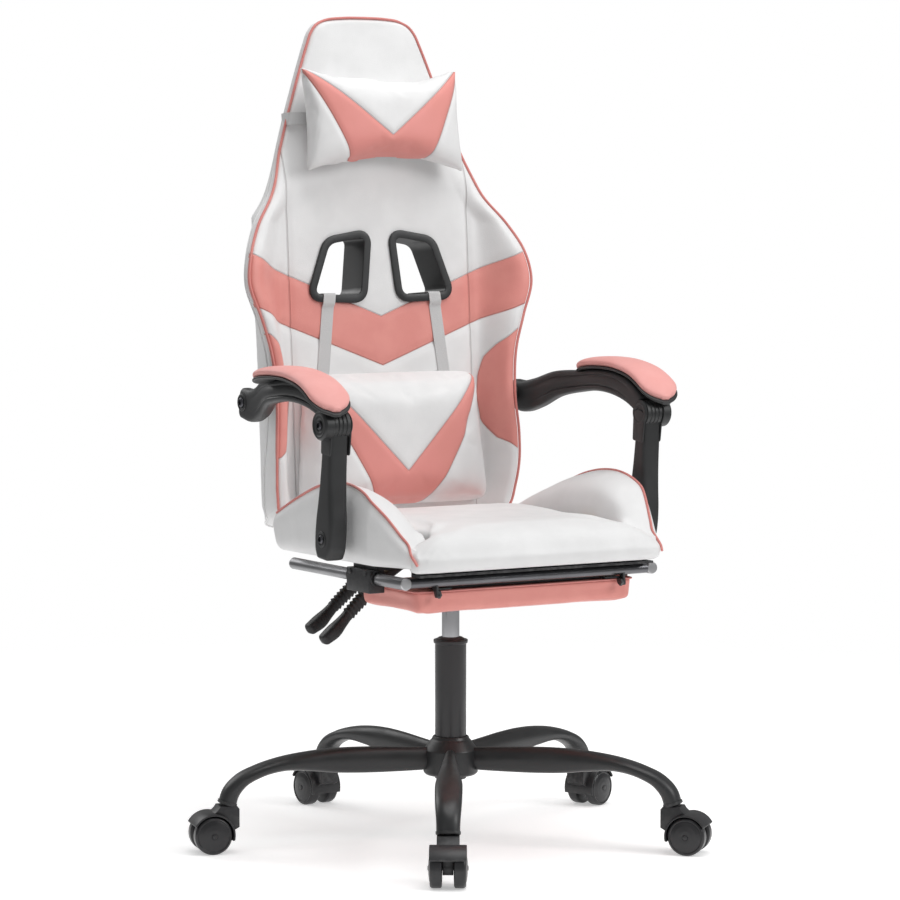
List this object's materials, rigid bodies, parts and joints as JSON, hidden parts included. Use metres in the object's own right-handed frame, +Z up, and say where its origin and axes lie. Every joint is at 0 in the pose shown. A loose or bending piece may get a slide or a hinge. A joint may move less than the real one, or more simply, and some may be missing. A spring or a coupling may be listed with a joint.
{
  "type": "gaming chair",
  "caption": "Reclining high-back gaming chair on a five-leg caster base with gas lift, linked arms, two cushions and a pull-out footrest.",
  "frame": {"origin": "middle of the chair's bounding box, on the floor that the casters stand on", "axes": "+Z up, the chair faces -Y, +X is the sitter's left"},
  "size_m": [0.8258, 0.8046, 1.3105],
  "materials": {
    "black_metal": "satin black powder-coated steel",
    "chassis_steel": "black painted pressed steel",
    "wheel_nylon": "black nylon",
    "hood_plastic": "black plastic, slightly rough",
    "column_steel": "satin black steel tube",
    "chrome": "polished chrome",
    "bolt_steel": "dark zinc-plated steel",
    "rail_steel": "grey steel tube",
    "inner_nylon": "grey nylon",
    "board_wood": "plywood",
    "white_leather": "white faux leather with a fine pebble grain over foam",
    "pink_leather": "salmon pink faux leather over foam",
    "back_leather": "white and salmon pink faux leather panels with pink piping, over foam",
    "arm_plastic": "black moulded plastic with a light texture",
    "arm_pad": "light pink padded faux leather",
    "grommet_plastic": "black plastic, semi-gloss",
    "webbing": "white elastic webbing"
  },
  "bodies": {
    "base": {"star_base": "black_metal", "gas_column": "column_steel", "column_bush": "inner_nylon"},
    "swivel": {"gas_rod": "bolt_steel"},
    "seat": {"gas_cylinder": "chrome", "chassis_plate": "chassis_steel", "seat_board": "board_wood", "seat_cushion": "white_leather", "seat_bolster_left": "white_leather", "seat_bolster_right": "white_leather", "seat_hinge_plate_left": "chassis_steel", "seat_hinge_plate_right": "chassis_steel", "footrest_holder_left": "chassis_steel", "footrest_holder_right": "chassis_steel", "arm_foot_bolt_left": "bolt_steel", "arm_foot_bolt_right": "bolt_steel"},
    "back": {"back_cushion": "back_leather", "back_frame": "bolt_steel", "grommet_left": "grommet_plastic", "grommet_right": "grommet_plastic", "hinge_pin_left": "bolt_steel", "hinge_pin_right": "bolt_steel", "lumbar_strap_left": "webbing", "lumbar_strap_right": "webbing", "arm_rear_bolt_left": "bolt_steel", "arm_rear_bolt_right": "bolt_steel"},
    "head_cushion": {"head_pillow": "white_leather", "head_strap": "webbing"},
    "lumbar_cushion": {"lumbar_pillow": "white_leather"},
    "footrest_frame": {"footrest_tube_left": "rail_steel", "footrest_tube_right": "rail_steel", "footrest_crossbar": "rail_steel"},
    "footrest_flap": {"footrest_pad": "pink_leather", "footrest_pad_bracket": "chassis_steel"},
    "height_lever": {"height_lever": "arm_plastic"},
    "recline_lever": {"recline_lever": "arm_plastic"},
    "release_button": {"release_button": "inner_nylon"},
    "arm_post_left": {"arm_post_left": "arm_plastic"},
    "arm_beam_left": {"arm_beam_left": "arm_plastic", "arm_pad_left": "arm_pad", "arm_knuckle_bolt_left": "bolt_steel"},
    "arm_post_right": {"arm_post_right": "arm_plastic"},
    "arm_beam_right": {"arm_beam_right": "arm_plastic", "arm_pad_right": "arm_pad", "arm_knuckle_bolt_right": "bolt_steel"},
    "caster_1": {"caster_1_hood": "hood_plastic"},
    "caster_1_wheel_a": {"caster_1_wheel_a": "wheel_nylon"},
    "caster_1_wheel_b": {"caster_1_wheel_b": "wheel_nylon"},
    "caster_2": {"caster_2_hood": "hood_plastic"},
    "caster_2_wheel_a": {"caster_2_wheel_a": "wheel_nylon"},
    "caster_2_wheel_b": {"caster_2_wheel_b": "wheel_nylon"},
    "caster_3": {"caster_3_hood": "hood_plastic"},
    "caster_3_wheel_a": {"caster_3_wheel_a": "wheel_nylon"},
    "caster_3_wheel_b": {"caster_3_wheel_b": "wheel_nylon"},
    "caster_4": {"caster_4_hood": "hood_plastic"},
    "caster_4_wheel_a": {"caster_4_wheel_a": "wheel_nylon"},
    "caster_4_wheel_b": {"caster_4_wheel_b": "wheel_nylon"},
    "caster_5": {"caster_5_hood": "hood_plastic"},
    "caster_5_wheel_a": {"caster_5_wheel_a": "wheel_nylon"},
    "caster_5_wheel_b": {"caster_5_wheel_b": "wheel_nylon"}
  },
  "joints": [
    {"name": "seat_swivel", "type": "hinge", "parent": "base", "child": "swivel", "pos_m": [0.00786, -0.02483, 0.2], "axis": [0, 0, 1], "continuous": true},
    {"name": "seat_height", "type": "slide", "parent": "swivel", "child": "seat", "axis": [0, 0, 1], "range_m": [-0.08, 0]},
    {"name": "back_recline", "type": "hinge", "parent": "seat", "child": "back", "pos_m": [0.00786, 0.19217, 0.525], "axis": [-1, 0, 0], "range_deg": [0, 45]},
    {"name": "head_pillow_slide", "type": "slide", "parent": "back", "child": "head_cushion", "axis": [0, 0.0698, 0.9976], "range_m": [0, 0.05]},
    {"name": "lumbar_pillow_slide", "type": "slide", "parent": "back", "child": "lumbar_cushion", "axis": [0, 0.0698, 0.9976], "range_m": [0, 0.075]},
    {"name": "footrest_slide", "type": "slide", "parent": "seat", "child": "footrest_frame", "axis": [0, -1, 0], "range_m": [0, 0.225]},
    {"name": "footrest_flip", "type": "hinge", "parent": "footrest_frame", "child": "footrest_flap", "pos_m": [0.00786, -0.26583, 0.4275], "axis": [-1, 0, 0], "range_deg": [0, 180]},
    {"name": "height_lever_lift", "type": "hinge", "parent": "seat", "child": "height_lever", "pos_m": [-0.03414, -0.02483, 0.4565], "axis": [0, 1, 0], "range_deg": [0, 5.2], "stiffness_Nm_per_rad": 1.5, "springref_deg": -5.73},
    {"name": "release_button_press", "type": "slide", "parent": "seat", "child": "release_button", "axis": [0, 0, -1], "range_m": [0, 0.0042]},
    {"name": "recline_lever_lift", "type": "hinge", "parent": "seat", "child": "recline_lever", "pos_m": [-0.03414, 0.02117, 0.4565], "axis": [0, 1, 0], "range_deg": [0, 5.2], "stiffness_Nm_per_rad": 1.5, "springref_deg": -5.73},
    {"name": "arm_post_turn_left", "type": "hinge", "parent": "seat", "child": "arm_post_left", "pos_m": [0.29186, -0.14683, 0.509], "axis": [-1, 0, 0], "range_deg": [0, 45]},
    {"name": "arm_beam_turn_left", "type": "hinge", "parent": "back", "child": "arm_beam_left", "pos_m": [0.26486, 0.17517, 0.7], "axis": [1, 0, 0], "range_deg": [0, 45]},
    {"name": "arm_post_turn_right", "type": "hinge", "parent": "seat", "child": "arm_post_right", "pos_m": [-0.27614, -0.14683, 0.509], "axis": [-1, 0, 0], "range_deg": [0, 45]},
    {"name": "arm_beam_turn_right", "type": "hinge", "parent": "back", "child": "arm_beam_right", "pos_m": [-0.24914, 0.17517, 0.7], "axis": [1, 0, 0], "range_deg": [0, 45]},
    {"name": "caster_1_swivel", "type": "hinge", "parent": "base", "child": "caster_1", "pos_m": [-0.18604, -0.33878, 0.075], "axis": [0, 0, 1], "continuous": true},
    {"name": "caster_1_wheel_a_spin", "type": "hinge", "parent": "caster_1", "child": "caster_1_wheel_a", "pos_m": [-0.20023, -0.36175, 0.03], "axis": [0.8508, -0.5255, 0], "continuous": true},
    {"name": "caster_1_wheel_b_spin", "type": "hinge", "parent": "caster_1", "child": "caster_1_wheel_b", "pos_m": [-0.20023, -0.36175, 0.03], "axis": [0.8508, -0.5255, 0], "continuous": true},
    {"name": "caster_2_swivel", "type": "hinge", "parent": "base", "child": "caster_2", "pos_m": [0.24653, -0.30625, 0.075], "axis": [0, 0, 1], "continuous": true},
    {"name": "caster_2_wheel_a_spin", "type": "hinge", "parent": "caster_2", "child": "caster_2_wheel_a", "pos_m": [0.26399, -0.32685, 0.03], "axis": [0.7627, 0.6468, 0], "continuous": true},
    {"name": "caster_2_wheel_b_spin", "type": "hinge", "parent": "caster_2", "child": "caster_2_wheel_b", "pos_m": [0.26399, -0.32685, 0.03], "axis": [0.7627, 0.6468, 0], "continuous": true},
    {"name": "caster_3_swivel", "type": "hinge", "parent": "base", "child": "caster_3", "pos_m": [0.34926, 0.11519, 0.075], "axis": [0, 0, 1], "continuous": true},
    {"name": "caster_3_wheel_a_spin", "type": "hinge", "parent": "caster_3", "child": "caster_3_wheel_a", "pos_m": [0.37424, 0.12543, 0.03], "axis": [-0.3795, 0.9252, 0], "continuous": true},
    {"name": "caster_3_wheel_b_spin", "type": "hinge", "parent": "caster_3", "child": "caster_3_wheel_b", "pos_m": [0.37424, 0.12543, 0.03], "axis": [-0.3795, 0.9252, 0], "continuous": true},
    {"name": "caster_4_swivel", "type": "hinge", "parent": "base", "child": "caster_4", "pos_m": [-0.01981, 0.34313, 0.075], "axis": [0, 0, 1], "continuous": true},
    {"name": "caster_4_wheel_a_spin", "type": "hinge", "parent": "caster_4", "child": "caster_4_wheel_a", "pos_m": [-0.02183, 0.37006, 0.03], "axis": [-0.9972, -0.075, 0], "continuous": true},
    {"name": "caster_4_wheel_b_spin", "type": "hinge", "parent": "caster_4", "child": "caster_4_wheel_b", "pos_m": [-0.02183, 0.37006, 0.03], "axis": [-0.9972, -0.075, 0], "continuous": true},
    {"name": "caster_5_swivel", "type": "hinge", "parent": "base", "child": "caster_5", "pos_m": [-0.35064, 0.06256, 0.075], "axis": [0, 0, 1], "continuous": true},
    {"name": "caster_5_wheel_a_spin", "type": "hinge", "parent": "caster_5", "child": "caster_5_wheel_a", "pos_m": [-0.37687, 0.06896, 0.03], "axis": [-0.2368, -0.9715, 0], "continuous": true},
    {"name": "caster_5_wheel_b_spin", "type": "hinge", "parent": "caster_5", "child": "caster_5_wheel_b", "pos_m": [-0.37687, 0.06896, 0.03], "axis": [-0.2368, -0.9715, 0], "continuous": true}
  ],
  "couplings": [
    {"joint": "release_button_press", "follows": "height_lever_lift", "m_per_rad": 0.046},
    {"joint": "arm_post_turn_left", "follows": "back_recline", "ratio": 1},
    {"joint": "arm_beam_turn_left", "follows": "back_recline", "ratio": 1},
    {"joint": "arm_post_turn_right", "follows": "back_recline", "ratio": 1},
    {"joint": "arm_beam_turn_right", "follows": "back_recline", "ratio": 1}
  ]
}
